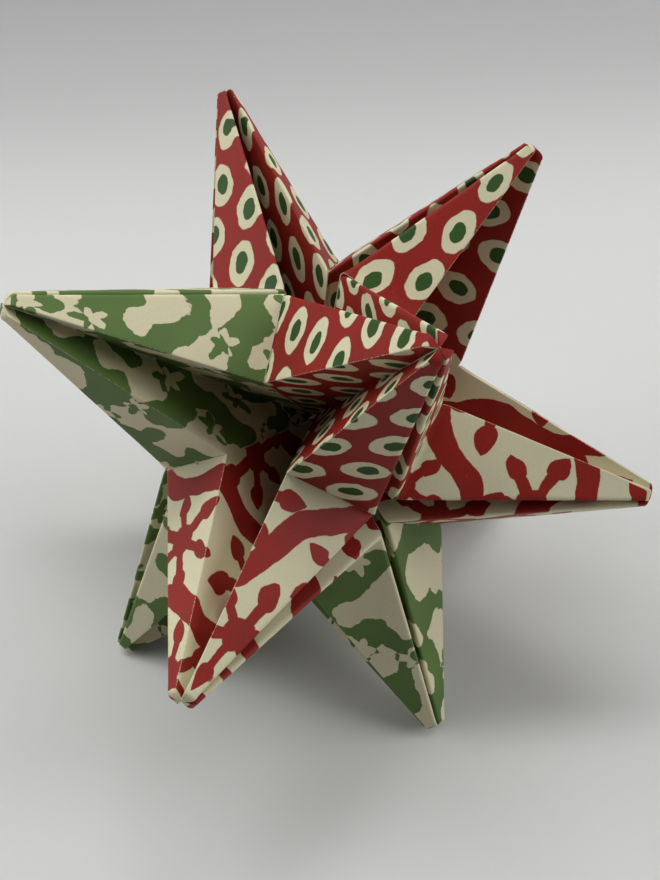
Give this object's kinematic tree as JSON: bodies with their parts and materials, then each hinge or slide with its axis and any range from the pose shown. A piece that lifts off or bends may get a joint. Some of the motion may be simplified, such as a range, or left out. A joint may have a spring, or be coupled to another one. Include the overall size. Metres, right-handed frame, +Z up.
{
  "type": "origami star ornament",
  "caption": "Modular origami star: square printed sheets, each folded into one hollow point and tucked into its neighbours, standing on its lower points.",
  "frame": {"origin": "on the ground, under the middle of the whole star", "axes": "+Z up, four points stand on the ground; -Y is the side that the picture shows most"},
  "size_m": [0.1576, 0.1606, 0.156],
  "materials": {
    "red_oval_paper": "block-printed red paper with cream ovals and dark green dots, slightly glossy ink",
    "cream_branch_paper": "cream paper with red printed branches, slightly glossy ink",
    "green_leaf_paper": "cream paper with green printed leaves, slightly glossy ink"
  },
  "bodies": {
    "root": {"point_top_back": "red_oval_paper", "point_top_right": "red_oval_paper", "point_top_front": "red_oval_paper", "point_low_back": "red_oval_paper", "point_mid_front_left": "cream_branch_paper", "point_mid_front_right": "cream_branch_paper", "point_mid_back_left": "cream_branch_paper", "point_low_right": "cream_branch_paper", "point_top_left": "green_leaf_paper", "point_low_left": "green_leaf_paper", "point_low_front": "green_leaf_paper", "point_mid_back_right": "green_leaf_paper"}
  },
  "joints": []
}
